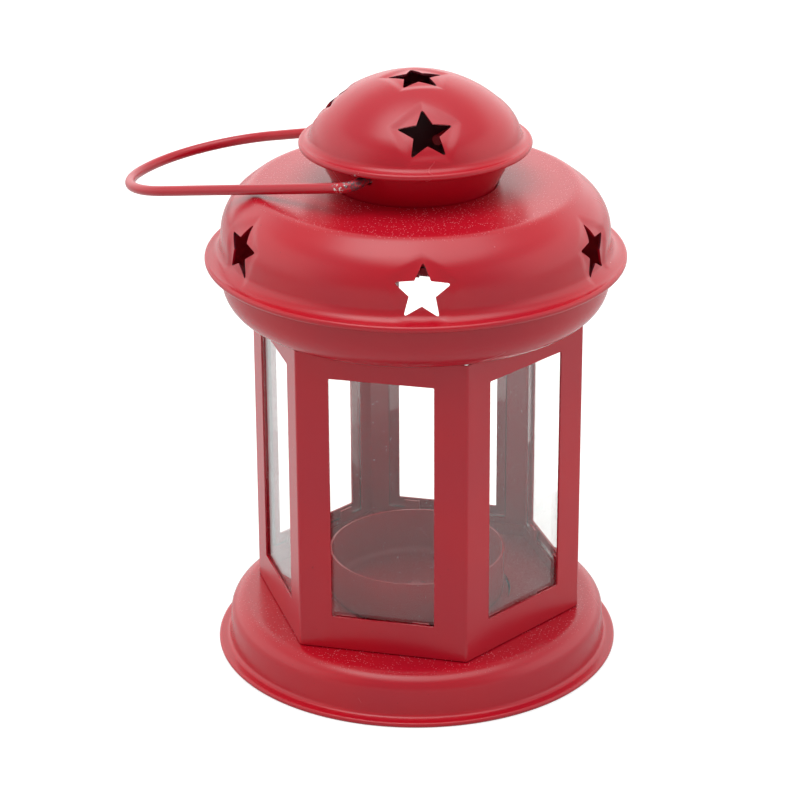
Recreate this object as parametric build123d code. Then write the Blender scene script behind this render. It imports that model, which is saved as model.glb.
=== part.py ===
"""A small tealight lantern in pressed and punched tinplate.

A round base dish carries a cup for one tealight. A six-sided housing with a
window and a glass pane in every side stands on it and locks to it with three
bent lugs that turn in curved slots. A round skirt, a roof punched with six
stars, a flared neck and a domed cap punched with four stars close the top.
A wire handle swings in two holes in the neck.

Millimetres. The origin is the centre of the face that the lantern stands on,
+Z is up, and the window side that the photograph shows most squarely faces -Y.
An azimuth counts from -Y towards +X.
"""
from build123d import *
import math
import os

os.makedirs("parts", exist_ok=True)

# Sheet, wire and the room between pieces
sheet = 0.5              # tinplate, used for every pressed piece
wire_diameter = 2.5
lap_gap = 0.03           # between sheets folded or laid on each other
running_gap = 0.3        # between pieces that move past each other
cut_overrun = 2.0        # how far a cutting tool stands out of what it cuts
hem_fold_share = 0.45    # fold radius as a share of the folded height

# Base dish
base_rim_radius = 50.0
base_height = 12.0
base_wall_radius = 46.6      # outside, where the wall meets the shoulder
base_foot_radius = 47.2      # outside, where the wall meets the rim
base_shoulder_radius = 4.5
base_flare_radius = 1.4
base_hem_height = 1.3
base_hem_depth = 2.0

# Candle cup and the rivet that holds it
cup_radius = 21.6
cup_height = 12.3
cup_corner_radius = 2.2
rivet_shank_radius = 1.6
rivet_head_radius = 3.2
rivet_head_height = 1.2
rivet_edge_height = 0.4
rivet_clinch_radius = 2.6
rivet_clinch_height = 0.8

# Housing, a folded tube of six flat sides
side_count = 6
housing_corner_radius = 41.3     # centre to an outside corner
housing_height = 77.0
housing_fold_radius = 0.9
window_width = 25.4
window_sill_height = 8.4         # housing bottom to window bottom
window_head_height = 6.3         # window top to housing top
window_round = 0.3
pane_thickness = 1.2
pane_overlap = 2.5               # how far the glass runs behind the frame
pane_play = 0.1
pane_tab_width = 4.0
pane_tab_reach = 2.5             # how far a tab folds over the glass
pane_tab_spread = 9.0            # from the middle of the side to a tab
crown_tab_width = 8.0
crown_tab_reach = 3.0
crown_slot_play = 0.2

# Lock ring in the bottom of the housing, its lugs and their slots
ring_hole_radius = 23.2
ring_lip_height = 3.0
lug_count = 3
lug_width = 4.0
lug_foot_reach = 3.5             # from the hole edge out to the foot's end
lock_travel = 20.0               # degrees from locked to free
lug_azimuth = 93.0               # where the first lug stands when locked
slot_play = 0.35

# Skirt ring under the roof
skirt_radius = 46.8
skirt_height = 13.5
skirt_shoulder_radius = 8.0
skirt_fold_radius = 0.7
skirt_opening_inset = 4.3        # opening's flats, in from the housing's inside

# Roof
roof_rim_radius = 50.8
roof_height = 18.1               # lower face of the rim flange to the middle of the crown
roof_flat_radius = 22.5          # level seat round the neck
roof_flat_round = 20.0
roof_crest_radius = 38.9         # soft edge between the crown and the shoulder
roof_crest_drop = 0.45           # the crown falls this far towards that edge
roof_crest_round = 4.0
roof_wall_radius = 46.6
roof_wall_top_drop = 6.1         # from the crown down to the wall's top corner
roof_shoulder_radius = 12.0
roof_foot_radius = 47.0
roof_flare_radius = 3.3
rim_hem_depth = 2.2

# Neck and cap
neck_foot_radius = 19.1          # outside, where it leaves the roof
neck_top_radius = 24.6
neck_height = 10.5               # between its two flanges
neck_fold_radius = 0.6
neck_clench_depth = 3.4          # width of the flange under the roof
neck_hole_play = 0.9             # from the neck's foot to the hole in the roof
cap_rim_radius = 27.8
cap_height = 16.8                # neck flange to the top of the dome
cap_dome_radius = 31.5
cap_dome_turn = 42.0             # degrees the dome falls before the shoulder
cap_shoulder_at = 24.1
cap_shoulder_radius = 11.5
cap_foot_radius = 25.6
cap_flare_radius = 2.1
cap_hem_depth = 1.6

# Stars
star_tip_radius = 7.0           # before its tips are rounded
star_inner_radius = 3.2
star_tip_round = 0.45
roof_star_azimuths = [15.1, 77.9, 137.5, 194.9, 252.2, 310.7]   # punched by hand
roof_star_turns = [-2.2, 2.7, 0, 0, 0, -6.0]
roof_star_height = 7.5           # above the lower face of the roof's flange
roof_star_height_shares = [0.97, 1.02, 1, 1, 1, 1.12]
roof_star_lean = 20.0            # degrees that the punch points upwards
cap_star_azimuths = [20.0, 143.0, 268.6]
cap_star_radius_at = 21.0
cap_star_height = 8.8            # above the neck flange
cap_star_height_shares = [1, 1, 0.87]
cap_star_lean = 44.0
cap_star_turn = 2.0
top_star_azimuth = 167.2
top_star_right = 0.5             # the punch missed the middle line a little
top_star_forward = 1.25

# Wire handle
eye_drop = 2.7                   # from the neck's top flange to the wire
eye_play = 0.4
handle_azimuth = -16.7           # where the nearer eye is
handle_half_width = 29.8         # middle of the wire at the eyes
handle_tip_half_width = 22.6     # where the legs would meet the top line
handle_length = 79.0
handle_bend_radius = 3.0
handle_tip_radius = 24.0
handle_end_inside = 19.5         # how far each end runs in from its leg
handle_rest_droop = 12.0         # degrees below level, lying on the roof

# Heights that follow from the sizes above
housing_bottom = base_height + running_gap
housing_top = housing_bottom + housing_height
window_height = housing_height - window_sill_height - window_head_height
skirt_bottom = housing_top + lap_gap
skirt_top = skirt_bottom + skirt_height
roof_bottom = skirt_top + lap_gap
roof_top = roof_bottom + roof_height
neck_seat = roof_top - sheet - lap_gap
neck_bottom_middle = neck_seat - sheet / 2
neck_top_middle = neck_bottom_middle + neck_height
eye_height = neck_top_middle - eye_drop
cap_top = neck_top_middle + cap_height
side_turn = 360.0 / side_count
housing_out = housing_corner_radius * math.cos(math.radians(side_turn / 2))
housing_in = housing_out - sheet
wire_radius = wire_diameter / 2


def pressed(points, radii):
    """A sheet turned about Z, from the middle line of its section."""
    middle = FilletPolyline(*points, radius=radii)
    return revolve(Plane.XZ * trace(middle, sheet), Axis.Z)


def turned(section_points):
    """A solid turned about Z from the corners of half its section."""
    outline = make_face(Polyline(*section_points, close=True))
    return revolve(Plane.XZ * outline, Axis.Z)


def around(shape, azimuth):
    """The shape, made at the front, turned about Z to its azimuth."""
    return Rot(0, 0, azimuth) * shape


def six_sided(flat_distance, height, bottom, corner_round=0.0):
    """An upright six-sided bar, by the distance from its middle to a side."""
    corner_distance = flat_distance / math.cos(math.radians(side_turn / 2))
    outline = RegularPolygon(corner_distance, side_count)
    if corner_round:
        outline = fillet(outline.vertices(), corner_round)
    return Pos(0, 0, bottom) * extrude(outline, height)


def bar(width, near, far, bottom, top):
    """A box across the front, from one depth to another."""
    size = (width, far - near, top - bottom)
    return Pos(0, -(near + far) / 2, (bottom + top) / 2) * Box(*size)


def ring_sector(inner, outer, bottom, top, start, end):
    """A piece of a flat ring between two azimuths."""
    section = make_face(Polyline((inner, bottom), (outer, bottom),
                                 (outer, top), (inner, top), close=True))
    piece = revolve(Plane.XZ * section, Axis.Z, revolution_arc=end - start)
    return Rot(0, 0, start - 90) * piece


def star_punch(depth_out, depth_in, turn=0.0):
    """A five-pointed punch that points along +Z, with one tip along +Y."""
    corners = []
    for index in range(10):
        reach = star_inner_radius if index % 2 else star_tip_radius
        angle = math.radians(90 + turn + index * 36)
        corners.append((reach * math.cos(angle), reach * math.sin(angle)))
    outline = make_face(Polyline(*corners, close=True))
    middle_reach = (star_tip_radius + star_inner_radius) / 2
    tips = [v for v in outline.vertices() if v.center().length > middle_reach]
    outline = fillet(tips, star_tip_round)
    return Pos(0, 0, -depth_in) * extrude(outline, depth_out + depth_in)


def leaning_star(reach, height, lean, turn=0.0):
    """A star punch set against the front of a shell."""
    away = (0, -math.cos(math.radians(lean)), math.sin(math.radians(lean)))
    place = Plane(origin=(0, -reach, height), x_dir=(1, 0, 0), z_dir=away)
    depth = star_tip_radius + cut_overrun
    return place * star_punch(depth, depth, turn)


def make_base_dish():
    middle_top = base_height - sheet / 2
    flange = base_hem_height - sheet / 2
    rim = base_rim_radius - sheet / 2
    fold = hem_fold_share * (flange - sheet / 2)
    shank = rivet_shank_radius + lap_gap
    points = [(shank, middle_top), (base_wall_radius - sheet / 2, middle_top),
              (base_foot_radius - sheet / 2, flange), (rim, flange),
              (rim, sheet / 2), (rim - base_hem_depth, sheet / 2)]
    radii = [base_shoulder_radius - sheet / 2, base_flare_radius, fold, fold]
    dish = pressed(points, radii)
    for slot in lock_slots():
        dish -= slot
    return dish


def lock_slots():
    """Curved slots, wide where a lug's foot drops in and narrow where it locks."""
    low = base_height - sheet - cut_overrun
    high = base_height + cut_overrun
    stem_in = ring_hole_radius - slot_play
    stem_out = ring_hole_radius + sheet + slot_play
    foot_out = ring_hole_radius + lug_foot_reach + slot_play
    half = lug_half_angle(slot_play)
    slots = []
    for index in range(lug_count):
        start = lug_azimuth + index * 360 / lug_count
        narrow = ring_sector(stem_in, stem_out, low, high,
                             start - half, start + lock_travel + half)
        wide = ring_sector(stem_in, foot_out, low, high,
                           start + lock_travel - half, start + lock_travel + half)
        slots.append(narrow + wide)
    return slots


def lug_half_angle(play=0.0):
    return math.degrees((lug_width / 2 + play) / ring_hole_radius)


def make_candle_cup():
    floor = base_height + lap_gap + sheet / 2
    wall = cup_radius - sheet / 2
    rim = base_height + lap_gap + cup_height
    points = [(rivet_shank_radius + lap_gap, floor), (wall, floor), (wall, rim)]
    return pressed(points, [cup_corner_radius - sheet / 2])


def make_cup_rivet():
    seat = base_height + 2 * lap_gap + sheet
    under = base_height - sheet - lap_gap
    head_edge = seat + rivet_edge_height
    head_top = seat + rivet_head_height
    clinch = under - rivet_clinch_height
    points = [(0, clinch), (rivet_clinch_radius, clinch),
              (rivet_clinch_radius, under), (rivet_shank_radius, under),
              (rivet_shank_radius, seat), (rivet_head_radius, seat),
              (rivet_head_radius, head_edge), (rivet_shank_radius, head_top),
              (0, head_top)]
    return turned(points)


def make_lock_ring():
    """A six-sided plate with a round hole, an upturned lip and three lugs."""
    outside = housing_in - lap_gap
    plate = six_sided(outside, sheet, housing_bottom, housing_fold_radius)
    lip = six_sided(outside, sheet + ring_lip_height, housing_bottom,
                    housing_fold_radius)
    lip -= six_sided(outside - sheet, sheet + ring_lip_height + cut_overrun,
                     housing_bottom + sheet)
    hole = Pos(0, 0, housing_bottom) * Cylinder(ring_hole_radius,
                                                2 * cut_overrun)
    ring = plate + lip - hole
    foot_top = base_height - sheet - running_gap
    foot_bottom = foot_top - sheet
    half = lug_half_angle()
    for index in range(lug_count):
        start = lug_azimuth + index * 360 / lug_count
        stem = ring_sector(ring_hole_radius, ring_hole_radius + sheet, foot_bottom,
                           housing_bottom + sheet, start - half, start + half)
        foot = ring_sector(ring_hole_radius, ring_hole_radius + lug_foot_reach,
                           foot_bottom, foot_top, start - half, start + half)
        ring += stem + foot
    return ring


def pane_limits():
    """Bottom and top of every glass pane."""
    bottom = housing_bottom + window_sill_height - pane_overlap
    return bottom, bottom + window_height + 2 * pane_overlap


def make_housing():
    tube = six_sided(housing_out, housing_height, housing_bottom,
                     housing_fold_radius)
    tube -= six_sided(housing_in, housing_height + 2 * cut_overrun,
                      housing_bottom - cut_overrun, housing_fold_radius - sheet)
    sill = housing_bottom + window_sill_height
    opening = fillet(Rectangle(window_width, window_height).vertices(),
                     window_round)
    middle = sill + window_height / 2
    cutter = Plane(origin=(0, -housing_out, middle), x_dir=(1, 0, 0),
                   z_dir=(0, -1, 0)) * extrude(opening, cut_overrun, both=True)
    pane_bottom, pane_top = pane_limits()
    behind = housing_in - 2 * pane_play - pane_thickness
    for side in range(side_count):
        tube -= around(cutter, side * side_turn)
    for side in range(side_count):
        for spread in (-pane_tab_spread, pane_tab_spread):
            shelf = pane_top + pane_play
            leg = bar(pane_tab_width, behind - sheet, housing_in + sheet / 2,
                      shelf, shelf + sheet)
            hook = bar(pane_tab_width, behind - sheet, behind,
                       shelf - pane_tab_reach, shelf + sheet)
            tube += around(Pos(spread, 0, 0) * (leg + hook), side * side_turn)
            shelf = pane_bottom - pane_play
            leg = bar(pane_tab_width, behind - sheet, housing_in + sheet / 2,
                      shelf - sheet, shelf)
            hook = bar(pane_tab_width, behind - sheet, behind,
                       shelf - sheet, shelf + pane_tab_reach)
            tube += around(Pos(spread, 0, 0) * (leg + hook), side * side_turn)
        fold = skirt_bottom + sheet + lap_gap
        post = bar(crown_tab_width, housing_in, housing_out,
                   housing_top - sheet, fold + sheet)
        lap = bar(crown_tab_width, housing_in - crown_tab_reach, housing_out,
                  fold, fold + sheet)
        tube += around(post + lap, side * side_turn)
    return tube


def make_glass_pane(side):
    pane_bottom, pane_top = pane_limits()
    front = housing_in - pane_play
    pane = bar(window_width + 2 * pane_overlap, front - pane_thickness, front,
               pane_bottom, pane_top)
    return around(pane, side * side_turn)


def make_skirt_ring():
    wall = skirt_radius - sheet / 2
    edge = roof_rim_radius - 2 * sheet - lap_gap
    points = [(edge, skirt_top - sheet / 2), (wall, skirt_top - sheet / 2),
              (wall, skirt_bottom + sheet / 2),
              (housing_in / 2, skirt_bottom + sheet / 2)]
    ring = pressed(points, [skirt_fold_radius, skirt_shoulder_radius - sheet / 2])
    ring -= six_sided(housing_in - skirt_opening_inset, 2 * cut_overrun,
                      skirt_bottom - cut_overrun)
    slot = bar(crown_tab_width + 2 * crown_slot_play,
               housing_in - crown_slot_play, housing_out + crown_slot_play,
               skirt_bottom - cut_overrun, skirt_bottom + cut_overrun)
    for side in range(side_count):
        ring -= around(slot, side * side_turn)
    return ring


def make_roof():
    half = sheet / 2
    neck_hole = neck_foot_radius + neck_hole_play
    flange = roof_bottom + half
    under = skirt_top - sheet - lap_gap - half
    rim = roof_rim_radius - half
    fold = hem_fold_share * (flange - under)
    crest = roof_top - roof_crest_drop - half
    points = [(neck_hole, roof_top - half), (roof_flat_radius, roof_top - half),
              (roof_crest_radius, crest),
              (roof_wall_radius - half, roof_top - roof_wall_top_drop - half),
              (roof_foot_radius - half, flange), (rim, flange), (rim, under),
              (rim - rim_hem_depth, under)]
    radii = [roof_flat_round, roof_crest_round, roof_shoulder_radius - half,
             roof_flare_radius, fold, fold]
    roof = pressed(points, radii)
    punches = zip(roof_star_azimuths, roof_star_turns, roof_star_height_shares)
    for azimuth, turn, share in punches:
        height = roof_bottom + share * roof_star_height
        star = leaning_star(roof_wall_radius - half, height, roof_star_lean, turn)
        roof -= around(star, azimuth)
    return roof


def eye_tool():
    """A bar along the handle's pivot line that bores both eyes."""
    reach = neck_top_radius + cut_overrun
    tool = Rot(90, 0, 0) * Cylinder(wire_radius + eye_play, 2 * reach)
    return around(Pos(0, 0, eye_height) * tool, handle_azimuth)


def make_neck():
    half = sheet / 2
    foot = neck_foot_radius - half
    points = [(foot + neck_clench_depth, neck_bottom_middle),
              (foot, neck_bottom_middle),
              (neck_top_radius - half, neck_top_middle),
              (cap_rim_radius - 2 * sheet - lap_gap, neck_top_middle)]
    return pressed(points, [neck_fold_radius, neck_fold_radius]) - eye_tool()


def make_cap():
    half = sheet / 2
    apex = cap_top - half
    dome = cap_dome_radius - half
    dome_corner = dome * math.tan(math.radians(cap_dome_turn / 2))
    fall = (cap_shoulder_at - dome_corner) * math.tan(math.radians(cap_dome_turn))
    flange = neck_top_middle + sheet + lap_gap
    under = neck_top_middle - sheet - lap_gap
    rim = cap_rim_radius - half
    fold = hem_fold_share * (flange - under)
    points = [(0, apex), (dome_corner, apex), (cap_shoulder_at, apex - fall),
              (cap_foot_radius - half, flange), (rim, flange), (rim, under),
              (rim - cap_hem_depth, under)]
    radii = [dome - lap_gap, cap_shoulder_radius, cap_flare_radius, fold, fold]
    cap = pressed(points, radii)
    for azimuth, share in zip(cap_star_azimuths, cap_star_height_shares):
        height = neck_top_middle + share * cap_star_height
        star = leaning_star(cap_star_radius_at, height, cap_star_lean, cap_star_turn)
        cap -= around(star, azimuth)
    depth = star_tip_radius
    top = around(Pos(0, 0, cap_top) * star_punch(depth, depth), top_star_azimuth)
    return cap - Pos(top_star_right, -top_star_forward, 0) * top


def make_handle():
    """The bail, drawn flat with its pivot line along X, then laid on the roof."""
    inside = handle_half_width - handle_end_inside
    corners = [(inside, 0), (handle_half_width, 0),
               (handle_tip_half_width, handle_length)]
    points = corners + [(-across, along) for across, along in reversed(corners)]
    radii = [handle_bend_radius, handle_tip_radius, handle_tip_radius,
             handle_bend_radius]
    path = FilletPolyline(*points, radius=radii)
    start = Plane(origin=path @ 0, z_dir=path % 0)
    wire = sweep(start * Circle(wire_radius), path)
    lying = Rot(-handle_rest_droop, 0, 0) * wire
    return Pos(0, 0, eye_height) * Rot(0, 0, handle_azimuth + 90) * lying


def make_parts():
    parts = {
        "base_dish": make_base_dish(),
        "candle_cup": make_candle_cup(),
        "cup_rivet": make_cup_rivet(),
        "lock_ring": make_lock_ring(),
        "housing": make_housing(),
        "skirt_ring": make_skirt_ring(),
        "roof": make_roof(),
        "neck": make_neck(),
        "cap": make_cap(),
        "handle": make_handle(),
    }
    for side in range(side_count):
        parts[f"glass_pane_{side + 1}"] = make_glass_pane(side)
    return parts


for node, shape in make_parts().items():
    export_step(shape, f"parts/{node}.step")
    print(f"{node}: {shape.volume:.1f} mm3")
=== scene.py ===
# %% [markdown]
# # A tealight lantern in punched tinplate
#
# The real lantern is about 15 cm tall. It is pressed and punched from thin painted
# sheet, folded together without a screw, and it holds one tealight behind six panes
# of glass. The CAD model has every piece at its real size, and it stays the frame
# here: the pieces whose shape is right are only painted, and the ones that are round
# or dented in reality are modelled again, smooth, in the same place.
#
# Each step below has a text cell with the thinking and a short code cell that prints
# what it made, so that it can be followed one cell at a time.

import math

import bpy
from mathutils import Matrix, Vector


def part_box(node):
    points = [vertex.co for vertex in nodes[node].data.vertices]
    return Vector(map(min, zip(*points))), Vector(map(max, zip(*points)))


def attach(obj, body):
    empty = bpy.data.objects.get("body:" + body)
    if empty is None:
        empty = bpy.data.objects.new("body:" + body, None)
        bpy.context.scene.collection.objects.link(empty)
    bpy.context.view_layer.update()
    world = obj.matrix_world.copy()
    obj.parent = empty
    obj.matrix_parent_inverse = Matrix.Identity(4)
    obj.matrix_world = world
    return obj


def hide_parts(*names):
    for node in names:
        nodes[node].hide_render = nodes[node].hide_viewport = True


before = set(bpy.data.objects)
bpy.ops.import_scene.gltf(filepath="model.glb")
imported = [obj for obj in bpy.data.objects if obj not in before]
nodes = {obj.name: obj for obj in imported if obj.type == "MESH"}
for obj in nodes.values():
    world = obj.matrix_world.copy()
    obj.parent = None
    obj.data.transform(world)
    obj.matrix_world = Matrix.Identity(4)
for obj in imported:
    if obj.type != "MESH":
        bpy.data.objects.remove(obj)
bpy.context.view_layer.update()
mm = 0.001

# %% [markdown]
# ## The stage and the camera
#
# The photograph is a plain studio picture: white all round, and a camera a little
# above the lantern with a long lens. A long lens far away keeps the upright edges
# nearly parallel. The camera is placed by its distance, its height and three turns,
# because those are what a photographer would write down.

# %% The camera
camera_distance = 666.9 * mm        # level distance from the lantern's middle line
camera_height = 349.8 * mm
camera_round = math.radians(13.26)  # how far the lantern is turned away from it
camera_aside = math.radians(0.34)
camera_down = math.radians(23.20)
camera_roll = math.radians(-0.29)
camera_lens = 132.8                 # millimetres on a sensor 36 mm wide


def make_camera():
    data = bpy.data.cameras.new("camera")
    data.lens = camera_lens
    data.clip_start = 0.05
    data.clip_end = 20
    camera = bpy.data.objects.new("camera", data)
    bpy.context.scene.collection.objects.link(camera)
    turn = Matrix.Rotation(camera_round + camera_aside, 4, "Z")
    tilt = Matrix.Rotation(math.radians(90) - camera_down, 4, "X")
    roll = Matrix.Rotation(camera_roll, 4, "Z")
    place = Matrix.Rotation(camera_round, 4, "Z") @ Vector((0, -camera_distance, camera_height))
    camera.matrix_world = Matrix.Translation(place) @ turn @ tilt @ roll
    bpy.context.scene.camera = camera
    return camera


camera = make_camera()
bpy.context.scene.view_settings.view_transform = "Standard"
print("camera at", [round(value, 3) for value in camera.matrix_world.translation])

# %% [markdown]
# ## Helpers for modelling by hand
#
# In Blender an operator acts on whatever is selected, and the import has left the CAD
# nodes selected. So every piece starts by deselecting everything. Faces, edges and
# points are then chosen in code by their place, which is what a hand would do with
# the mouse.

# %% Selecting and editing
def start_fresh():
    """Nothing is selected and nothing is in edit mode."""
    if bpy.context.object and bpy.context.object.mode != "OBJECT":
        bpy.ops.object.mode_set(mode="OBJECT")
    bpy.ops.object.select_all(action="DESELECT")


def edit(piece):
    start_fresh()
    bpy.context.view_layer.objects.active = piece
    piece.select_set(True)
    bpy.ops.object.mode_set(mode="EDIT")
    bpy.ops.mesh.select_mode(type="VERT")
    bpy.ops.mesh.select_all(action="DESELECT")


def settle(piece):
    """Puts the piece's place into its mesh, so that its object sits at the origin."""
    start_fresh()
    bpy.context.view_layer.objects.active = piece
    piece.select_set(True)
    bpy.ops.object.transform_apply(location=True, rotation=True, scale=True)
    return piece


def apply(piece, kind, **settings):
    """Adds one modifier to the piece and applies it."""
    start_fresh()
    bpy.context.view_layer.objects.active = piece
    piece.select_set(True)
    modifier = piece.modifiers.new(kind.title(), kind)
    for name, value in settings.items():
        setattr(modifier, name, value)
    bpy.ops.object.modifier_apply(modifier=modifier.name)
    return piece


def cut_away(piece, cutter):
    """Takes the cutter's shape out of the piece and throws the cutter away."""
    apply(piece, "BOOLEAN", operation="DIFFERENCE", solver="EXACT", object=cutter)
    bpy.data.objects.remove(cutter)
    return piece


def join(pieces):
    """Makes one object of several."""
    start_fresh()
    for piece in pieces:
        piece.select_set(True)
    bpy.context.view_layer.objects.active = pieces[0]
    bpy.ops.object.join()
    return pieces[0]


print("helpers are ready")

# %% [markdown]
# ## Sheet metal that is turned
#
# The base, the cup, the skirt, the roof, the neck and the cap are all pressed from
# flat sheet into round forms. A section through the sheet is a line with rounded
# bends, so the middle line of the sheet is written as a few corners and the radius of
# each bend. From it a circle is extruded ring by ring, as on a lathe, and the Solidify
# modifier gives the sheet its thickness. That keeps every quad in rows, which shines
# evenly, where a CAD mesh of long triangles would not.

# %% Bends and rings
sheet = 0.5 * mm
lap_gap = 0.03 * mm


def bend_line(corners, radii, step=1.2 * mm, bend_steps=7):
    """The middle line of a sheet: its corners rounded by arcs, its runs cut in steps."""
    line = [Vector(corners[0])]
    for index, radius in enumerate(radii):
        here = Vector(corners[index + 1])
        back = (Vector(corners[index]) - here).normalized()
        onward = (Vector(corners[index + 2]) - here).normalized()
        half = back.angle(onward) / 2
        middle = here + (back + onward).normalized() * (radius / math.sin(half))
        first = here + back * (radius / math.tan(half))
        last = here + onward * (radius / math.tan(half))
        run_to(line, first, step)
        turn = (first - middle).angle_signed(last - middle)
        count = max(bend_steps, math.ceil(abs(turn) * radius / step))
        for part in range(1, count + 1):
            arm = first - middle
            arm.rotate(Matrix.Rotation(-turn * part / count, 2))
            line.append(middle + arm)
    run_to(line, Vector(corners[-1]), step)
    return line


def run_to(line, end, step):
    start = line[-1].copy()
    count = max(1, math.ceil((end - start).length / step))
    for part in range(1, count + 1):
        point = start.lerp(end, part / count)
        if (point - line[-1]).length > 0.01 * mm:
            line.append(point)


def turn_on_lathe(name, line, around=192, closed_at_axis=False):
    """Extrudes a circle ring by ring along a line of (radius, height) points."""
    start_fresh()
    bpy.ops.mesh.primitive_circle_add(vertices=around, radius=line[0].x,
                                      location=(0, 0, line[0].y))
    piece = settle(bpy.context.object)
    piece.name = name
    edit(piece)
    bpy.ops.mesh.select_all(action="SELECT")
    for last, here in zip(line, line[1:]):
        ratio = here.x / last.x
        bpy.ops.mesh.extrude_edges_move()
        bpy.ops.transform.resize(value=(ratio, ratio, 1), center_override=(0, 0, 0))
        bpy.ops.transform.translate(value=(0, 0, here.y - last.y))
    if closed_at_axis:
        bpy.ops.mesh.merge(type="CENTER")
    bpy.ops.mesh.select_all(action="SELECT")
    bpy.ops.mesh.normals_make_consistent(inside=False)
    start_fresh()
    return piece


def thicken(piece):
    return apply(piece, "SOLIDIFY", thickness=sheet, offset=0, use_even_offset=True)


def smooth(piece, angle=30):
    start_fresh()
    bpy.context.view_layer.objects.active = piece
    piece.select_set(True)
    bpy.ops.object.shade_smooth_by_angle(angle=math.radians(angle))
    return piece


def dress(piece, body, stands_for):
    """The piece rides on its body and stands for its CAD node."""
    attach(piece, body)
    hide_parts(stands_for)
    print(piece.name, len(piece.data.polygons), "faces, box",
          [round(value / mm, 1) for value in piece.dimensions])
    return piece


hem_fold_share = 0.45
print("lathe is ready, sheet", sheet / mm, "mm")

# %% [markdown]
# ## The base dish
#
# The base is a shallow round dish with a soft shoulder. Its edge flares out and is
# folded back under itself, a hem, so that no cut edge can scratch the table. In its
# top are three curved slots: the lugs of the housing drop in at the wide end and lock
# at the narrow one. Each slot is a small flat piece swept round the middle line with
# the Spin tool and then cut away.

# %% Base dish
base_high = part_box("base_dish")[1]
base_rim = base_high.x - sheet / 2
base_top = base_high.z - sheet / 2
base_flange = 1.05 * mm
base_wall = 46.35 * mm
base_foot = 46.95 * mm
base_shoulder = 4.25 * mm
base_flare = 1.4 * mm
base_hem = 2.0 * mm
rivet_hole = 1.63 * mm
slot_inner = 22.85 * mm
slot_stem = 1.2 * mm
slot_foot = 4.2 * mm
slot_half_angle = 5.8
lock_travel = 20.0
lug_azimuth = 93.0


def make_sector(inner, outer, bottom, top, start, end):
    """A piece of a flat ring between two azimuths, swept with Spin."""
    start_fresh()
    bpy.ops.mesh.primitive_plane_add(size=1, rotation=(math.radians(90), 0, 0),
                                     location=((inner + outer) / 2, 0, (bottom + top) / 2))
    sector = bpy.context.object
    sector.scale = (outer - inner, top - bottom, 1)
    settle(sector)
    edit(sector)
    bpy.ops.mesh.select_all(action="SELECT")
    bpy.ops.mesh.spin(steps=8, angle=-math.radians(end - start), center=(0, 0, 0), axis=(0, 0, 1))
    bpy.ops.mesh.select_all(action="SELECT")
    bpy.ops.mesh.normals_make_consistent(inside=False)
    start_fresh()
    sector.rotation_euler.z = math.radians(start - 90)
    return settle(sector)


def make_base_dish():
    fold = hem_fold_share * (base_flange - sheet / 2)
    corners = [(rivet_hole, base_top), (base_wall, base_top), (base_foot, base_flange),
               (base_rim, base_flange), (base_rim, sheet / 2), (base_rim - base_hem, sheet / 2)]
    radii = [base_shoulder, base_flare, fold, fold]
    dish = turn_on_lathe("base_dish_pressed", bend_line(corners, radii), around=256)
    thicken(dish)
    low, high = base_top - 2 * mm, base_top + 2 * mm
    for lug in range(3):
        start = lug_azimuth + lug * 120
        cut_away(dish, make_sector(slot_inner, slot_inner + slot_stem, low, high,
                                   start - slot_half_angle, start + lock_travel + slot_half_angle))
        cut_away(dish, make_sector(slot_inner, slot_inner + slot_foot, low - mm, high + mm,
                                   start + lock_travel - slot_half_angle,
                                   start + lock_travel + slot_half_angle))
    return dress(smooth(dish), "base", "base_dish")


base_dish = make_base_dish()

# %% [markdown]
# ## The candle cup
#
# The cup is one more pressing, riveted to the middle of the dish. It is seen only
# through the glass, so it gets the same lathe and no more.

# %% Candle cup
cup_low, cup_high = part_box("candle_cup")
cup_wall = cup_high.x - sheet / 2
cup_floor = cup_low.z + sheet / 2
cup_corner = 1.95 * mm


def make_candle_cup():
    corners = [(rivet_hole, cup_floor), (cup_wall, cup_floor), (cup_wall, cup_high.z)]
    cup = turn_on_lathe("candle_cup_pressed", bend_line(corners, [cup_corner]), around=128)
    thicken(cup)
    return dress(smooth(cup), "base", "candle_cup")


candle_cup = make_candle_cup()

# %% [markdown]
# ## The skirt
#
# The skirt is a round ring with a big soft shoulder below and a thin flange above,
# which the folded rim of the roof grips. Its opening is six-sided, like the housing
# that it closes, and six tabs of the housing come up through short slots in it.

# %% Skirt
skirt_low, skirt_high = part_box("skirt_ring")
skirt_wall = 46.55 * mm
skirt_shoulder = 7.75 * mm
skirt_fold = 0.7 * mm
housing_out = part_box("housing")[1].y
housing_in = housing_out - sheet
opening_inset = 4.3 * mm
opening_flat = housing_in - opening_inset
crown_slot_width = 8.4 * mm
crown_slot_play = 0.2 * mm


def make_six_sided(flat, low, high):
    """A six-sided bar to cut with, given by the distance from its middle to a side."""
    start_fresh()
    bpy.ops.mesh.primitive_cylinder_add(vertices=6, radius=flat / math.cos(math.radians(30)),
                                        depth=high - low, location=(0, 0, (low + high) / 2),
                                        rotation=(0, 0, math.radians(30)))
    return settle(bpy.context.object)


def make_bar(width, near, far, low, high, azimuth):
    """A box to cut with, made at the front and turned to its azimuth."""
    start_fresh()
    bpy.ops.mesh.primitive_cube_add(size=1, location=(0, -(near + far) / 2, (low + high) / 2))
    box = bpy.context.object
    box.scale = (width, far - near, high - low)
    settle(box)
    box.rotation_euler.z = math.radians(azimuth)
    return settle(box)


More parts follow.
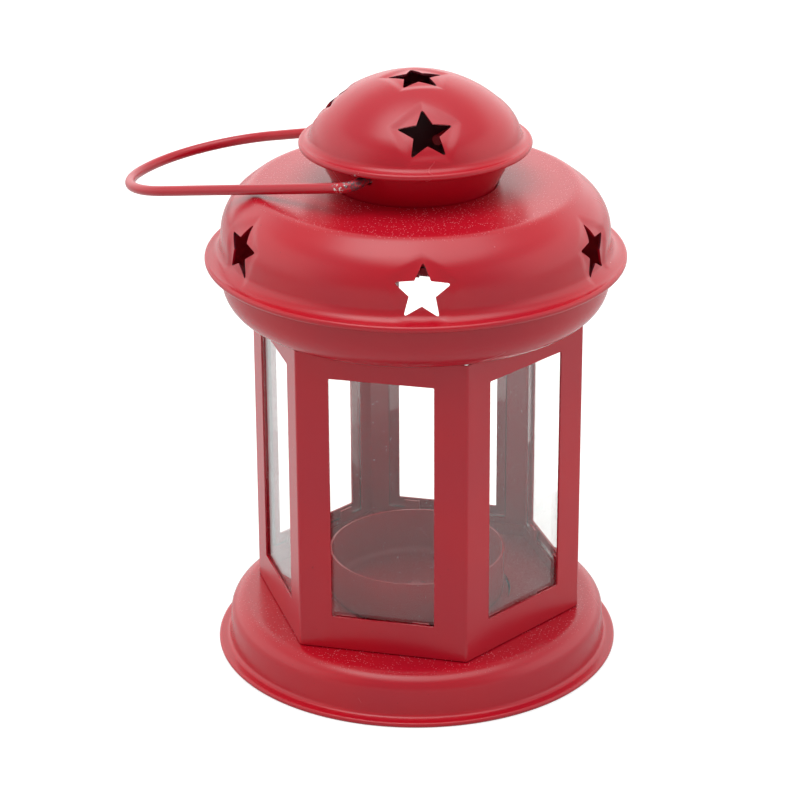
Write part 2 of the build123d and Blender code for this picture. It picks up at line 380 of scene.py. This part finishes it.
def make_skirt():
    corners = [(skirt_high.x - sheet, skirt_high.z - sheet / 2),
               (skirt_wall, skirt_high.z - sheet / 2),
               (skirt_wall, skirt_low.z + sheet / 2),
               (housing_in / 2, skirt_low.z + sheet / 2)]
    skirt = turn_on_lathe("skirt_pressed", bend_line(corners, [skirt_fold, skirt_shoulder]),
                          around=256)
    thicken(skirt)
    low, high = skirt_low.z - 2 * mm, skirt_low.z + 2 * mm
    cut_away(skirt, make_six_sided(opening_flat, low, high))
    slots = [make_bar(crown_slot_width, housing_in - crown_slot_play,
                      housing_out + crown_slot_play, low, high, side * 60) for side in range(6)]
    cut_away(skirt, join(slots))
    return dress(smooth(skirt), "housing", "skirt_ring")


skirt = make_skirt()

# %% [markdown]
# ## The stars
#
# A press punches each star with a hard tool, from outside. The tool drags the thin
# sheet in with it, so the metal round every star sinks a little and the light breaks
# there. This is what makes the stars look punched and not drawn on. The sinking is
# done as a hand would paint it: a vertex group says how much each point follows the
# punch, and a Displace modifier pushes those points in. After that the sheet gets its
# thickness and the star is cut out.
#
# The star starts as a circle of ten points. Every second one is pulled in, the tips
# are rounded with Bevel, and an extrusion makes it a bar to cut with.

# %% Star punch
star_tip = 7.0 * mm
star_inner = 3.2 * mm
star_tip_round = 0.95 * mm


def make_star_bar(place):
    """A star bar along Z of the place matrix, with one tip along its Y."""
    start_fresh()
    bpy.ops.mesh.primitive_circle_add(vertices=10, radius=star_tip, fill_type="NGON")
    star = bpy.context.object
    edit(star)
    inner_points = {point.index for point in star.data.vertices if point.index % 2}
    bpy.ops.object.mode_set(mode="OBJECT")
    for point in star.data.vertices:
        point.select = point.index in inner_points
    bpy.ops.object.mode_set(mode="EDIT")
    ratio = star_inner / star_tip
    bpy.ops.transform.resize(value=(ratio, ratio, 1), center_override=(0, 0, 0))
    bpy.ops.mesh.select_all(action="INVERT")
    bpy.ops.mesh.bevel(offset=star_tip_round, segments=5, affect="VERTICES")
    bpy.ops.mesh.select_all(action="SELECT")
    bpy.ops.transform.translate(value=(0, 0, -star_tip))
    bpy.ops.mesh.extrude_region_move(TRANSFORM_OT_translate={"value": (0, 0, 2 * star_tip)})
    bpy.ops.mesh.select_all(action="SELECT")
    bpy.ops.mesh.normals_make_consistent(inside=False)
    start_fresh()
    star.matrix_world = place
    return settle(star)


def past_the_tips(point):
    """How far a flat point is outside the five-sided outline over the star's tips."""
    side_distance = 0.9 * star_tip * math.cos(math.radians(36))
    across = [point.dot(Vector((math.cos(angle), math.sin(angle))))
              for angle in (math.radians(54 + 72 * side) for side in range(5))]
    return max(0, max(across) - side_distance)


def lean_place(reach, height, lean, azimuth, turn=0.0):
    """Where a star sits on a wall: its Z points out of the wall and leans up."""
    out = Vector((0, -math.cos(math.radians(lean)), math.sin(math.radians(lean))))
    across = Vector((1, 0, 0))
    up = out.cross(across)
    stance = Matrix((across, up, out)).transposed().to_4x4()
    place = Matrix.Translation((0, -reach, height)) @ stance
    spin = Matrix.Rotation(math.radians(turn), 4, "Z")
    return Matrix.Rotation(math.radians(azimuth), 4, "Z") @ place @ spin


def press_in(piece, places, depth, spread):
    """Sinks the sheet round every star, fully between its arms and less further out."""
    group = piece.vertex_groups.new(name="follows_the_punch")
    inverses = [place.inverted() for place in places]
    for point in piece.data.vertices:
        for inverse in inverses:
            local = inverse @ point.co
            if local.xy.length < star_tip + spread and abs(local.z) < star_tip:
                share = 1 - past_the_tips(local.xy) / spread
                if share > 0:
                    group.add([point.index], share * share * (3 - 2 * share), "REPLACE")
    apply(piece, "DISPLACE", strength=-depth, mid_level=0, direction="NORMAL",
          vertex_group=group.name)
    piece.vertex_groups.clear()


print("star punch:", round(2 * star_tip / mm, 1), "mm over its tips")

# %% [markdown]
# ## The roof
#
# The roof is the biggest pressing. Its crown is level round the neck and falls a
# little to a soft edge, the crest. Its shoulder is round, its wall is nearly upright,
# and its rim is folded round the flange of the skirt. Six stars go round it. The rings
# are closer together here than on the other pieces, because the dents round the stars
# need points to bend.

# %% Roof
roof_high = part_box("roof")[1]
roof_rim = roof_high.x - sheet / 2
roof_bottom = skirt_high.z + lap_gap
roof_height = 18.1 * mm
roof_top = roof_bottom + roof_height
roof_flat_radius = 22.5 * mm
roof_crest_radius = 38.9 * mm
roof_crest_drop = 0.45 * mm
roof_wall = 46.35 * mm
roof_wall_drop = 6.1 * mm
roof_foot = 46.75 * mm
roof_hole = 20.0 * mm
roof_hem = 2.2 * mm
roof_flat_round = 20.0 * mm
roof_crest_round = 4.0 * mm
roof_shoulder = 11.75 * mm
roof_flare = 3.3 * mm
roof_dent = 0.4 * mm
dent_spread = 2.4 * mm
roof_star_height = 7.5 * mm
roof_star_height_shares = [0.97, 1.02, 1, 1, 1, 1.12]
roof_star_azimuths = [15.1, 77.9, 137.5, 194.9, 252.2, 310.7]
roof_star_turns = [-2.2, 2.7, 0, 0, 0, -6.0]
roof_star_lean = 20.0


def make_roof():
    flange = roof_bottom + sheet / 2
    under = skirt_high.z - 1.5 * sheet - lap_gap
    fold = hem_fold_share * (flange - under)
    corners = [(roof_hole, roof_top - sheet / 2), (roof_flat_radius, roof_top - sheet / 2),
               (roof_crest_radius, roof_top - roof_crest_drop - sheet / 2),
               (roof_wall, roof_top - roof_wall_drop - sheet / 2),
               (roof_foot, flange), (roof_rim, flange), (roof_rim, under),
               (roof_rim - roof_hem, under)]
    radii = [roof_flat_round, roof_crest_round, roof_shoulder, roof_flare, fold, fold]
    line = bend_line(corners, radii, step=0.6 * mm)
    roof = turn_on_lathe("roof_pressed", line, around=480)
    punches = zip(roof_star_azimuths, roof_star_turns, roof_star_height_shares)
    places = [lean_place(roof_wall, roof_bottom + share * roof_star_height,
                         roof_star_lean, azimuth, turn) for azimuth, turn, share in punches]
    press_in(roof, places, depth=roof_dent, spread=dent_spread)
    thicken(roof)
    cut_away(roof, join([make_star_bar(place) for place in places]))
    return dress(smooth(roof), "housing", "roof")


roof = make_roof()

# %% [markdown]
# ## The neck
#
# The neck is a flared collar. Its foot is clenched under the roof and its top carries
# the cap. Two holes in it are the eyes that the handle swings in.

# %% Neck
neck_low, neck_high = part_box("neck")
neck_foot = 18.85 * mm
neck_top = 24.35 * mm
neck_clench = 3.4 * mm
neck_fold = 0.6 * mm
eye_drop = 2.7 * mm
eye_radius = 1.65 * mm
handle_azimuth = -16.7
eye_height = neck_high.z - sheet / 2 - eye_drop


def make_neck():
    low, high = neck_low.z + sheet / 2, neck_high.z - sheet / 2
    corners = [(neck_foot + neck_clench, low), (neck_foot, low), (neck_top, high),
               (neck_high.x - 0.02 * mm, high)]
    neck = turn_on_lathe("neck_pressed", bend_line(corners, [neck_fold, neck_fold]), around=192)
    thicken(neck)
    start_fresh()
    across = (math.radians(90), 0, math.radians(handle_azimuth))
    bpy.ops.mesh.primitive_cylinder_add(vertices=32, radius=eye_radius, depth=60 * mm,
                                        location=(0, 0, eye_height), rotation=across)
    cut_away(neck, settle(bpy.context.object))
    return dress(smooth(neck), "housing", "neck")


neck = make_neck()

# %% [markdown]
# ## The cap
#
# The cap is a small dome with three stars round it and one on top. Its rim is folded
# round the flange of the neck, as the roof's is round the skirt. The lathe closes at
# the middle line, and the top star takes that closed tip away again.

# %% Cap
cap_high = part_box("cap")[1]
cap_height = 16.8 * mm
cap_top = neck_high.z - sheet / 2 + cap_height
cap_rim = cap_high.x - sheet / 2
cap_dome = 31.25 * mm
cap_dome_turn = math.radians(42)
cap_shoulder_at = 24.1 * mm
cap_shoulder = 11.5 * mm
cap_foot = 25.35 * mm
cap_flare = 2.1 * mm
cap_hem = 1.6 * mm
cap_dent = 0.45 * mm
cap_star_azimuths = [20.0, 143.0, 268.6]
cap_star_height_shares = [1, 1, 0.87]
cap_star_reach = 21.0 * mm
cap_star_height = 8.8 * mm
cap_star_lean = 44.0
cap_star_turn = 2.0
top_star_azimuth = 167.2
top_star_aside = (0.5 * mm, -1.25 * mm)


def make_cap():
    apex = cap_top - sheet / 2
    dome_corner = cap_dome * math.tan(cap_dome_turn / 2)
    fall = (cap_shoulder_at - dome_corner) * math.tan(cap_dome_turn)
    flange = neck_high.z + sheet / 2 + lap_gap
    under = neck_high.z - 1.5 * sheet - lap_gap
    fold = hem_fold_share * (flange - under)
    corners = [(cap_rim - cap_hem, under), (cap_rim, under), (cap_rim, flange),
               (cap_foot, flange), (cap_shoulder_at, apex - fall), (dome_corner, apex), (0, apex)]
    radii = [fold, fold, cap_flare, cap_shoulder, cap_dome - lap_gap]
    line = bend_line(corners, radii, step=0.5 * mm)
    line = [point for point in line if point.x > 0.2 * mm]
    cap = turn_on_lathe("cap_pressed", line, around=320, closed_at_axis=True)
    seat = neck_high.z - sheet / 2
    places = [lean_place(cap_star_reach, seat + share * cap_star_height, cap_star_lean, azimuth,
                         cap_star_turn)
              for azimuth, share in zip(cap_star_azimuths, cap_star_height_shares)]
    places.append(Matrix.Translation((*top_star_aside, cap_top))
                  @ Matrix.Rotation(math.radians(top_star_azimuth), 4, "Z"))
    press_in(cap, places, depth=cap_dent, spread=dent_spread)
    thicken(cap)
    cut_away(cap, join([make_star_bar(place) for place in places]))
    return dress(smooth(cap), "housing", "cap")


cap = make_cap()

# %% [markdown]
# ## The wire handle
#
# The handle is one length of wire, bent four times. It is modelled the way that the
# wire is bent: a small circle is extruded along the straight runs and swept round the
# bends with Spin. Only half is made, and Mirror gives the other half. Spin turns the
# other way round from what its angle says when there is no window, so the angle is
# negative for a turn to the left.

# %% Handle
wire_radius = 1.25 * mm
handle_half_width = 29.8 * mm
handle_tip_half_width = 22.6 * mm
handle_length = 79.0 * mm
handle_bend = 3.0 * mm
handle_tip_bend = 24.0 * mm
handle_end_inside = 19.5 * mm
handle_rest_droop = 12.0


def run_wire(start, end):
    step = end - start
    bpy.ops.mesh.extrude_edges_move(TRANSFORM_OT_translate={"value": (step.x, step.y, 0)})


def bend_wire(here, heading, turn, radius, steps):
    """Sweeps the selected end to the left round a bend and gives its new place."""
    left = Vector((-heading.y, heading.x))
    middle = here + left * radius
    bpy.ops.mesh.spin(steps=steps, angle=-turn, center=(middle.x, middle.y, 0), axis=(0, 0, 1))
    arm = here - middle
    arm.rotate(Matrix.Rotation(turn, 2))
    return middle + arm


def make_handle():
    eye = Vector((handle_half_width, 0))
    tip = Vector((handle_tip_half_width, handle_length))
    leg = (tip - eye).normalized()
    first_turn = math.atan2(leg.y, leg.x)
    second_turn = math.radians(180) - first_turn
    start = Vector((handle_half_width - handle_end_inside, 0))
    bend_start = eye - Vector((1, 0)) * handle_bend * math.tan(first_turn / 2)
    tip_start = tip - leg * handle_tip_bend * math.tan(second_turn / 2)
    start_fresh()
    bpy.ops.mesh.primitive_circle_add(vertices=28, radius=wire_radius, fill_type="NGON",
                                      location=(start.x, 0, 0), rotation=(0, math.radians(90), 0))
    wire = settle(bpy.context.object)
    wire.name = "handle_wire"
    edit(wire)
    bpy.ops.mesh.select_all(action="SELECT")
    bpy.ops.mesh.inset(thickness=0.25 * mm)
    bpy.ops.mesh.select_all(action="SELECT")
    bpy.ops.mesh.region_to_loop()
    run_wire(start, bend_start)
    here = bend_wire(bend_start, Vector((1, 0)), first_turn, handle_bend, 14)
    run_wire(here, tip_start)
    here = bend_wire(tip_start, leg, second_turn, handle_tip_bend, 32)
    run_wire(here, Vector((0, here.y)))
    bpy.ops.mesh.select_all(action="SELECT")
    bpy.ops.mesh.remove_doubles(threshold=0.005 * mm)
    start_fresh()
    apply(wire, "MIRROR", use_axis=(True, False, False), merge_threshold=0.02 * mm)
    edit(wire)
    bpy.ops.mesh.select_all(action="SELECT")
    bpy.ops.mesh.normals_make_consistent(inside=False)
    start_fresh()
    wire.matrix_world = (Matrix.Translation((0, 0, eye_height))
                         @ Matrix.Rotation(math.radians(handle_azimuth + 90), 4, "Z")
                         @ Matrix.Rotation(math.radians(-handle_rest_droop), 4, "X"))
    settle(wire)
    return dress(smooth(wire), "handle", "handle")


handle = make_handle()

# %% [markdown]
# ## Building materials from small effects
#
# A real painted surface is never one flat colour. It is a sum of small effects: soft
# waves in the thin sheet, a slight orange peel in the paint, dust that settles on what
# faces up, hair scratches, and bare metal where something rubs. Each effect is a node
# group of its own that gives one value, so that every material can use it and it is
# changed in one place. All of them work on Object coordinates, in metres, and need no
# unwrapping.

# %% Helpers for nodes
def feed(tree, socket, value):
    """Links the value if it is a socket, and sets it as a constant if not."""
    if isinstance(value, bpy.types.NodeSocket):
        tree.links.new(value, socket)
    else:
        socket.default_value = value


def put(tree, kind, settings=None, **inputs):
    """Adds a node. An input is named as in Blender, with _ for a space."""
    node = tree.nodes.new("ShaderNode" + kind)
    for name, value in (settings or {}).items():
        setattr(node, name, value)
    for name, value in inputs.items():
        feed(tree, node.inputs[name.replace("_", " ")], value)
    return node


def calc(tree, operation, *values):
    node = put(tree, "Math", {"operation": operation})
    for socket, value in zip(node.inputs, values):
        feed(tree, socket, value)
    return node.outputs[0]


def ease(tree, value, start, end):
    """0 before start, 1 past end and soft between. Start may be above end."""
    low, high = min(start, end), max(start, end)
    node = put(tree, "MapRange", {"interpolation_type": "SMOOTHSTEP"}, Value=value,
               From_Min=low, From_Max=high)
    rising = node.outputs["Result"]
    return rising if start < end else calc(tree, "SUBTRACT", 1, rising)


def blend(tree, share, first, second):
    node = put(tree, "Mix", {"data_type": "RGBA"})
    for index, value in ((0, share), (6, first), (7, second)):
        feed(tree, node.inputs[index], value)
    return node.outputs[2]


def noise(tree, place, scale, detail=2.0):
    return put(tree, "TexNoise", Vector=place, Scale=scale, Detail=detail).outputs[0]


def start_group(name, kind="NodeSocketFloat", result="Mask"):
    """A new node group with one output, and the object's coordinates inside it."""
    group = bpy.data.node_groups.new(name, "ShaderNodeTree")
    group.interface.new_socket(name=result, in_out="OUTPUT", socket_type=kind)
    return group, put(group, "TexCoord").outputs["Object"]


def end_group(group, result):
    end = group.nodes.new("NodeGroupOutput")
    group.links.new(result, end.inputs[0])
    print("effect", group.name, "has", len(group.nodes), "nodes")
    return group


def use(tree, group):
    node = tree.nodes.new("ShaderNodeGroup")
    node.node_tree = group
    return node


def vector_calc(tree, operation, *vectors):
    """One vector operation. Its result is a number for a length, a distance or a dot."""
    node = put(tree, "VectorMath", {"operation": operation})
    for socket, vector in zip(node.inputs, vectors):
        feed(tree, socket, vector)
    return node.outputs["Value" if operation in ("LENGTH", "DISTANCE", "DOT_PRODUCT") else "Vector"]


def upward(tree, vector):
    return put(tree, "SeparateXYZ", Vector=vector).outputs["Z"]


def flatten(tree, place):
    return vector_calc(tree, "MULTIPLY", place, (1, 1, 0))


def distance_round(tree, place):
    """The distance of a place from the lantern's middle line."""
    return vector_calc(tree, "LENGTH", flatten(tree, place))


# %% [markdown]
# ### Sheet and paint
#
# Thin sheet is never quite flat after pressing, and its waves bend the reflections of
# the room. Spray paint adds a fine skin like that of an orange. Both are heights for
# one Bump node. The colour itself wanders a little between two close reds.

# %% Effects of the sheet and the paint
bright_red = (0.445, 0.0015, 0.011, 1)
deep_red = (0.405, 0.002, 0.014, 1)
pit_red = (0.16, 0.001, 0.006, 1)


def make_surface_effect():
    group, place = start_group("sheet_and_peel", result="Height")
    waves = noise(group, place, 42.0)
    peel = noise(group, place, 620.0, 1.0)
    return end_group(group, calc(group, "MULTIPLY_ADD", peel, 0.05, waves))


def make_shade_effect():
    group, place = start_group("paint_shade", "NodeSocketColor", "Color")
    cloud = ease(group, noise(group, place, 34.0, 3.0), 0.3, 0.7)
    reds = blend(group, cloud, bright_red, deep_red)
    pits = ease(group, noise(group, place, 1300.0, 1.0), 0.76, 0.82)
    pitted = blend(group, calc(group, "MULTIPLY", pits, 0.5), reds, pit_red)
    return end_group(group, pitted)


surface_effect = make_surface_effect()
shade_effect = make_shade_effect()

# %% [markdown]
# ### Dust, scratches, bare metal and painted shade
#
# Dust lies where a surface faces up, and most of it where no cloth reaches: round the
# neck, and on the base close to the housing. It is made of tiny round specks, each one
# a cell of a Voronoi texture, and of a thin film. Scratches are the straight borders
# of big Voronoi cells, kept only where a noise says so, which breaks them into short
# lines. Painted shade darkens the inside of the roof and the cap, where the surface
# faces the middle line or straight down and little light reaches. Bare metal shows in
# a ball round a given place, broken up by noise.

# %% Effects of use
def make_specks(tree, place, scale, size, share):
    """Round specks: one in each Voronoi cell whose random value is high enough."""
    cells = put(tree, "TexVoronoi", Vector=place, Scale=scale)
    inside = ease(tree, cells.outputs["Distance"], size, size * 0.5)
    chance = put(tree, "SeparateColor", Color=cells.outputs["Color"]).outputs[0]
    chosen = calc(tree, "GREATER_THAN", chance, 1 - share)
    return calc(tree, "MULTIPLY", inside, chosen)


def make_dust_effect():
    group, place = start_group("dust")
    normal = put(group, "NewGeometry").outputs["Normal"]
    facing_up = ease(group, upward(group, normal), 0.6, 0.97)
    away = distance_round(group, place)
    height = upward(group, place)
    on_crown = calc(group, "MULTIPLY", ease(group, height, 0.115, 0.118),
                    ease(group, height, 0.125, 0.123))
    by_neck = calc(group, "MULTIPLY", ease(group, away, 0.0405, 0.037), on_crown)
    by_housing = calc(group, "MULTIPLY", ease(group, away, 0.046, 0.040),
                      ease(group, height, 0.02, 0.014))
    sheltered = calc(group, "MAXIMUM", by_neck, by_housing)
    fine = calc(group, "MULTIPLY", make_specks(group, place, 2000.0, 0.3, 0.35), 0.7)
    coarse = make_specks(group, place, 1400.0, 0.22, 0.24)
    patches = ease(group, noise(group, place, 110.0, 3.0), 0.34, 0.56)
    specks = calc(group, "MULTIPLY", calc(group, "MAXIMUM", fine, coarse), patches)
    film = calc(group, "MULTIPLY", noise(group, place, 160.0, 4.0), 0.012)
    near = calc(group, "MULTIPLY", calc(group, "ADD", specks, film), sheltered)
    far = calc(group, "MULTIPLY", make_specks(group, place, 420.0, 0.1, 0.03), 0.5)
    return end_group(group, calc(group, "MULTIPLY", calc(group, "MAXIMUM", near, far), facing_up))


def make_scratch_effect():
    group, place = start_group("scratches")
    cells = put(group, "TexVoronoi", {"feature": "DISTANCE_TO_EDGE"}, Vector=place, Scale=36.0)
    lines = ease(group, cells.outputs["Distance"], 0.004, 0.001)
    kept = ease(group, noise(group, place, 75.0, 1.0), 0.68, 0.74)
    return end_group(group, calc(group, "MULTIPLY", lines, kept))


# Painted shade: a mask of the faces high in the lantern that turn to the middle line or face
# straight down.
def make_inside_shade_effect():
    group, place = start_group("painted_inside_shade")
    normal = put(group, "NewGeometry").outputs["Normal"]
    direction = vector_calc(group, "NORMALIZE", flatten(group, place))
    inside = ease(group, vector_calc(group, "DOT_PRODUCT", normal, direction), -0.02, -0.2)
    facing_down = ease(group, upward(group, normal), -0.9, -0.97)
    above = ease(group, upward(group, place), 0.1036, 0.105)
    facing_in_or_down = calc(group, "MAXIMUM", inside, facing_down)
    return end_group(group, calc(group, "MULTIPLY", facing_in_or_down, above))


def make_bare_metal_effect():
    group, place = start_group("bare_metal")
    group.interface.new_socket(name="Place", in_out="INPUT", socket_type="NodeSocketVector")
    group.interface.new_socket(name="Reach", in_out="INPUT", socket_type="NodeSocketFloat")
    given = group.nodes.new("NodeGroupInput")
    gap = vector_calc(group, "DISTANCE", place, given.outputs["Place"])
    share = calc(group, "DIVIDE", gap, given.outputs["Reach"])
    flakes = noise(group, place, 1500.0, 3.0)
    flaked = calc(group, "SUBTRACT", flakes, calc(group, "MULTIPLY", share, 0.22))
    return end_group(group, ease(group, flaked, 0.36, 0.40))


dust_effect = make_dust_effect()
scratch_effect = make_scratch_effect()
inside_shade_effect = make_inside_shade_effect()
bare_metal_effect = make_bare_metal_effect()

# %% [markdown]
# ## The red paint
#
# The paint is a satin enamel: a saturated red with no green in it, under a clear skin
# that reflects four percent. What looks like lighter red on the roof and the cap is
# the white room in that skin, so the base colour stays dark and the room does the rest.
# The housing, the roof and the base share one material. The cap and the handle rub
# against each other and show bare metal there, so they get their own, and the handle
# gets no painted shade on its inner side.

# %% Paint
scratch_colour = (0.6, 0.12, 0.13, 1)
dust_colour = (0.75, 0.36, 0.4, 1)
# The near black of the painted shade inside the roof and the cap.
inside_shade_colour = (0.035, 0.008, 0.014, 1)
scuff_colour = (0.075, 0.035, 0.045, 1)
steel_colour = (0.62, 0.6, 0.58, 1)


def worn_spot(tree, centre, reach):
    """A mask of flakes round one place."""
    spot = use(tree, bare_metal_effect)
    spot.inputs["Place"].default_value = centre
    spot.inputs["Reach"].default_value = reach
    return spot.outputs[0]


def make_paint(name, roughness=0.27, inside_shaded=True, chips=(), scuffs=None):
    """Each chip, and the scuffs, are given as a centre and a reach."""
    material = bpy.data.materials.new(name)
    material.use_nodes = True
    tree = material.node_tree
    shader = tree.nodes["Principled BSDF"]
    dust = use(tree, dust_effect).outputs[0]
    scratch = use(tree, scratch_effect).outputs[0]
    colour = blend(tree, calc(tree, "MULTIPLY", scratch, 0.35),
                   use(tree, shade_effect).outputs[0], scratch_colour)
    colour = blend(tree, calc(tree, "MULTIPLY", dust, 0.75), colour, dust_colour)
    # Painted shade on the inside faces of the roof, the neck and the cap.
    if inside_shaded:
        painted_inside_shade = calc(tree, "MULTIPLY", use(tree, inside_shade_effect).outputs[0], 0.8)
        colour = blend(tree, painted_inside_shade, colour, inside_shade_colour)
    rough = calc(tree, "MULTIPLY_ADD", scratch, 0.2, roughness)
    rough = calc(tree, "MULTIPLY_ADD", dust, 0.4, rough)
    if scuffs:
        worn = calc(tree, "MULTIPLY", worn_spot(tree, *scuffs), 0.9)
        colour = blend(tree, worn, colour, scuff_colour)
    bare = None
    for centre, reach in chips:
        chip = worn_spot(tree, centre, reach)
        bare = chip if bare is None else calc(tree, "MAXIMUM", bare, chip)
    if bare:
        colour = blend(tree, bare, colour, steel_colour)
        rough = calc(tree, "MULTIPLY_ADD", bare, 0.12, rough)
        tree.links.new(bare, shader.inputs["Metallic"])
    surface = use(tree, surface_effect)
    bump = put(tree, "Bump", Strength=1.0, Distance=0.00003, Height=surface.outputs[0])
    tree.links.new(colour, shader.inputs["Base Color"])
    tree.links.new(rough, shader.inputs["Roughness"])
    tree.links.new(bump.outputs[0], shader.inputs["Normal"])
    print("material", name, "has", len(tree.nodes), "nodes")
    return material


def at_wire(along_pivot, out):
    """A place on the handle as it rests, from the middle of its pivot line."""
    droop = math.radians(handle_rest_droop)
    spot = Vector((along_pivot, out * math.cos(droop), -out * math.sin(droop)))
    turn = Matrix.Rotation(math.radians(handle_azimuth + 90), 3, "Z")
    return turn @ spot + Vector((0, 0, eye_height))


def paint_piece(piece, material):
    piece.data.materials.clear()
    piece.data.materials.append(material)


near_bend = at_wire(-29.5 * mm, 2.7 * mm)
far_bend = at_wire(29.5 * mm, 2.7 * mm)
near_eye = at_wire(-26.4 * mm, 0)
rim_spot = at_wire(-27.5 * mm, 0.5 * mm) + Vector((0, 0, 1.8 * mm))
red_paint = make_paint("red_paint")
cap_paint = make_paint("cap_paint", chips=[(rim_spot, 1.1 * mm)])
handle_paint = make_paint("handle_paint", 0.3, inside_shaded=False, scuffs=(near_eye, 5.6 * mm),
                          chips=[(near_bend, 1.6 * mm), (far_bend, 1.6 * mm)])
for piece in (base_dish, candle_cup, skirt, roof, neck):
    paint_piece(piece, red_paint)
for name in ("housing", "lock_ring", "cup_rivet"):
    paint_piece(nodes[name], red_paint)
paint_piece(cap, cap_paint)
paint_piece(handle, handle_paint)

# %% [markdown]
# ## The glass
#
# The panes are plain window glass with a trace of green. They are thin and flat, so
# they bend nothing, but they mirror the white room and lift the dark inside of the
# lantern. A few specks of dust roughen the glass where they lie. Light from lamps goes
# straight through, which saves the renderer from sending it through the glass.

# %% Glass
def make_glass():
    material = bpy.data.materials.new("window_glass")
    material.use_nodes = True
    tree = material.node_tree
    shader = tree.nodes["Principled BSDF"]
    shader.inputs["Base Color"].default_value = (0.975, 0.99, 0.98, 1)
    shader.inputs["Transmission Weight"].default_value = 1
    shader.inputs["IOR"].default_value = 1.45
    tree.links.new(use(tree, glass_dust_effect).outputs[0], shader.inputs["Roughness"])
    clear = put(tree, "BsdfTransparent")
    ray = put(tree, "LightPath")
    mix = put(tree, "MixShader")
    tree.links.new(ray.outputs["Is Shadow Ray"], mix.inputs[0])
    tree.links.new(shader.outputs[0], mix.inputs[1])
    tree.links.new(clear.outputs[0], mix.inputs[2])
    tree.links.new(mix.outputs[0], tree.nodes["Material Output"].inputs[0])
    return material


def make_glass_dust_effect():
    group, place = start_group("glass_dust", result="Roughness")
    specks = make_specks(group, place, 1900.0, 0.2, 0.03)
    blotches = calc(group, "MULTIPLY", ease(group, noise(group, place, 60.0), 0.5, 0.75), 0.03)
    dull = calc(group, "MULTIPLY_ADD", specks, 0.5, calc(group, "ADD", blotches, 0.01))
    return end_group(group, dull)


glass_dust_effect = make_glass_dust_effect()
glass = make_glass()
for side in range(6):
    paint_piece(nodes[f"glass_pane_{side + 1}"], glass)

# %% [markdown]
# ## The white studio
#
# The photograph was taken in a white room: bright overhead, with a soft box a little
# to the left, darker high on the walls, bright at the sides, and dark towards the
# photographer. The world does nearly all the lighting, and its level depends on the
# direction, which gives the paint its light and dark bands. The floor is white for the
# camera by its own light, and diffuse besides, so that it still takes the lantern's
# soft shadow. Right under the lantern it has no light of its own, or the slots in the
# base would glow.

# %% Floor and world
def make_floor():
    start_fresh()
    bpy.ops.mesh.primitive_plane_add(size=6, location=(0, 0, 0))
    floor = bpy.context.object
    floor.name = "floor"
    material = bpy.data.materials.new("floor_white")
    material.use_nodes = True
    tree = material.node_tree
    tree.nodes.remove(tree.nodes["Principled BSDF"])
    ray = put(tree, "LightPath").outputs
    seen = calc(tree, "MAXIMUM", ray["Is Camera Ray"], ray["Is Transmission Ray"])
    level = calc(tree, "ADD", calc(tree, "MULTIPLY", seen, floor_seen_level),
                 calc(tree, "MULTIPLY", ray["Is Glossy Ray"], floor_mirrored_level))
    away = distance_round(tree, put(tree, "TexCoord").outputs["Object"])
    level = calc(tree, "MULTIPLY", level, ease(tree, away, 0.044, 0.049))
    glow = put(tree, "Emission", Strength=level)
    diffuse = put(tree, "BsdfDiffuse", Color=(floor_shade, floor_shade, floor_shade, 1))
    both = put(tree, "AddShader")
    tree.links.new(diffuse.outputs[0], both.inputs[0])
    tree.links.new(glow.outputs[0], both.inputs[1])
    tree.links.new(both.outputs[0], tree.nodes["Material Output"].inputs[0])
    paint_piece(floor, material)
    return floor


def towards(tree, way, target):
    """How nearly a way points at a target, which is given as seen from the camera."""
    turned = Matrix.Rotation(camera_round, 3, "Z") @ Vector(target)
    return vector_calc(tree, "DOT_PRODUCT", way, turned)


def make_world():
    world = bpy.data.worlds.new("studio")
    bpy.context.scene.world = world
    world.use_nodes = True
    tree = world.node_tree
    background = tree.nodes["Background"]
    background.inputs["Color"].default_value = (1, 1, 1, 1)
    way = put(tree, "TexCoord").outputs["Generated"]
    photographer = ease(tree, towards(tree, way, (0, -1, 0)), 0.15, 0.85)
    high_walls = ease(tree, upward(tree, way), 0.52, 0.66)
    ceiling = ease(tree, towards(tree, way, (0, -0.13, 0.99)), 0.82, 0.93)
    soft_box = ease(tree, towards(tree, way, (-0.21, -0.09, 0.97)), 0.94, 0.985)
    room = calc(tree, "MULTIPLY_ADD", photographer, front_level - side_level, side_level)
    dimmed = calc(tree, "MULTIPLY_ADD", high_walls, high_wall_share - 1, 1)
    room = calc(tree, "MULTIPLY", room, dimmed)
    room = calc(tree, "MULTIPLY_ADD", ceiling, calc(tree, "SUBTRACT", ceiling_level, room), room)
    room = calc(tree, "MULTIPLY_ADD", soft_box, soft_box_level, room)
    ray = put(tree, "LightPath").outputs
    seen = calc(tree, "MAXIMUM", ray["Is Camera Ray"], ray["Is Transmission Ray"])
    level = calc(tree, "MULTIPLY_ADD", seen, calc(tree, "SUBTRACT", 1, room), room)
    tree.links.new(level, background.inputs["Strength"])
    return world


ceiling_level = 2.8
soft_box_level = 1.7
side_level = 1.6
front_level = 0.5
high_wall_share = 0.55
floor_shade = 0.5
floor_seen_level = 0.6
floor_mirrored_level = 0.2
floor = make_floor()
world = make_world()
print("ceiling, sides and front light at", ceiling_level, side_level, front_level)
